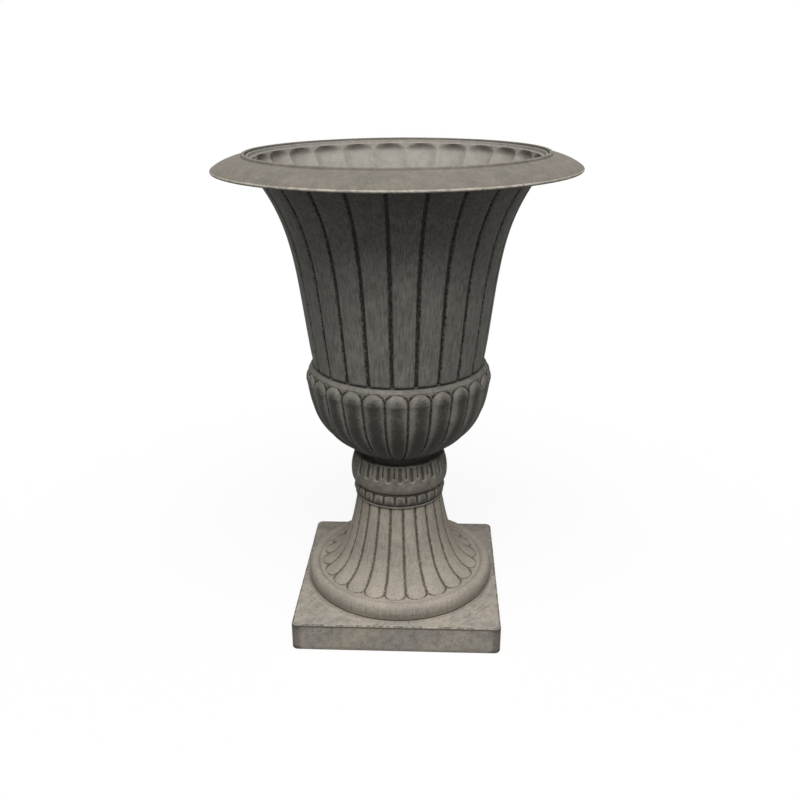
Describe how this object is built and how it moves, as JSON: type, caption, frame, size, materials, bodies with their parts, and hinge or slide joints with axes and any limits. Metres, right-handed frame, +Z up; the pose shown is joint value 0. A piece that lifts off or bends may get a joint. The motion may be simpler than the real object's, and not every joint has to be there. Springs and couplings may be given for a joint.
{
  "type": "urn planter",
  "caption": "Classical garden urn with a fluted bell, a gadrooned bowl, a beaded neck and a petalled pedestal on a square plinth, open at the top for planting.",
  "frame": {"origin": "centre of the plinth's underside, on the ground", "axes": "+Z up through the urn's axis to its mouth, -Y out of the front side of the square plinth, +X to its right"},
  "size_m": [0.4046, 0.4046, 0.5682],
  "materials": {
    "pale_shell": "faux stone, brushed and worn at the edges",
    "rim_shell": "faux stone, mottled, with a lighter rolled edge",
    "mid_shell": "faux stone, dark in the hollows, light on the beads",
    "dark_shell": "faux stone with dark patina in the grooves and dry-brushed highlights",
    "zinc": "zinc plated",
    "rubber": "matt"
  },
  "bodies": {
    "urn": {"plinth": "pale_shell", "pedestal": "pale_shell", "neck_collar": "mid_shell", "bowl": "dark_shell", "bell": "dark_shell", "rim_ring": "rim_shell", "bolt_gasket": "rubber", "upper_washer": "zinc", "centre_bolt": "zinc", "lower_washer": "zinc", "wing_nut": "zinc", "bell_screw_1": "zinc", "bell_screw_2": "zinc", "bell_screw_3": "zinc", "bell_screw_4": "zinc", "bell_screw_5": "zinc", "bell_screw_6": "zinc", "base_screw_1": "zinc", "base_screw_2": "zinc", "base_screw_3": "zinc", "base_screw_4": "zinc"},
    "plug": {"drain_plug": "rubber"}
  },
  "joints": [
    {"name": "plug_pull", "type": "slide", "parent": "urn", "child": "plug", "axis": [0, 0, 1], "range_m": [0, 0.06]}
  ]
}
